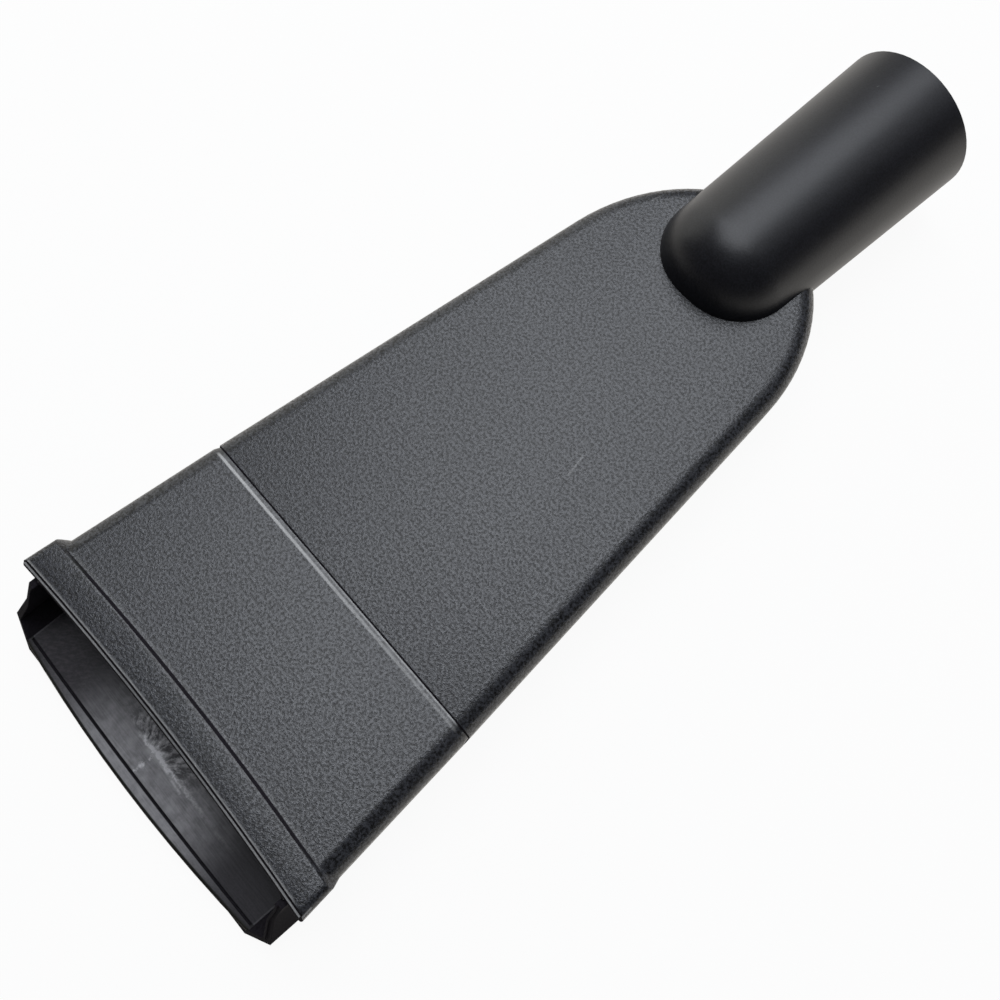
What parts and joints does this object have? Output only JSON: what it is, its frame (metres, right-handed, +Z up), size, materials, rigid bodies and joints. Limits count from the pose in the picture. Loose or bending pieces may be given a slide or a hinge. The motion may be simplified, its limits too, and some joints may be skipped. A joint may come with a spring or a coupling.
{
  "type": "vacuum nozzle",
  "caption": "Wide flat suction nozzle, moulded in one piece, with a slanted open mouth, a collared upper lip and a round neck that takes a suction tube.",
  "frame": {"origin": "centre of the bounding box in X and Y, on the plane of the flat underside", "axes": "+X across the mouth, +Y from the mouth along the neck, +Z up, away from the flat underside"},
  "size_m": [0.1042, 0.2584, 0.0401],
  "materials": {
    "moulding": "fine spark grain on the body, plain satin on the neck"
  },
  "bodies": {
    "root": {"nozzle": "moulding"}
  },
  "joints": []
}
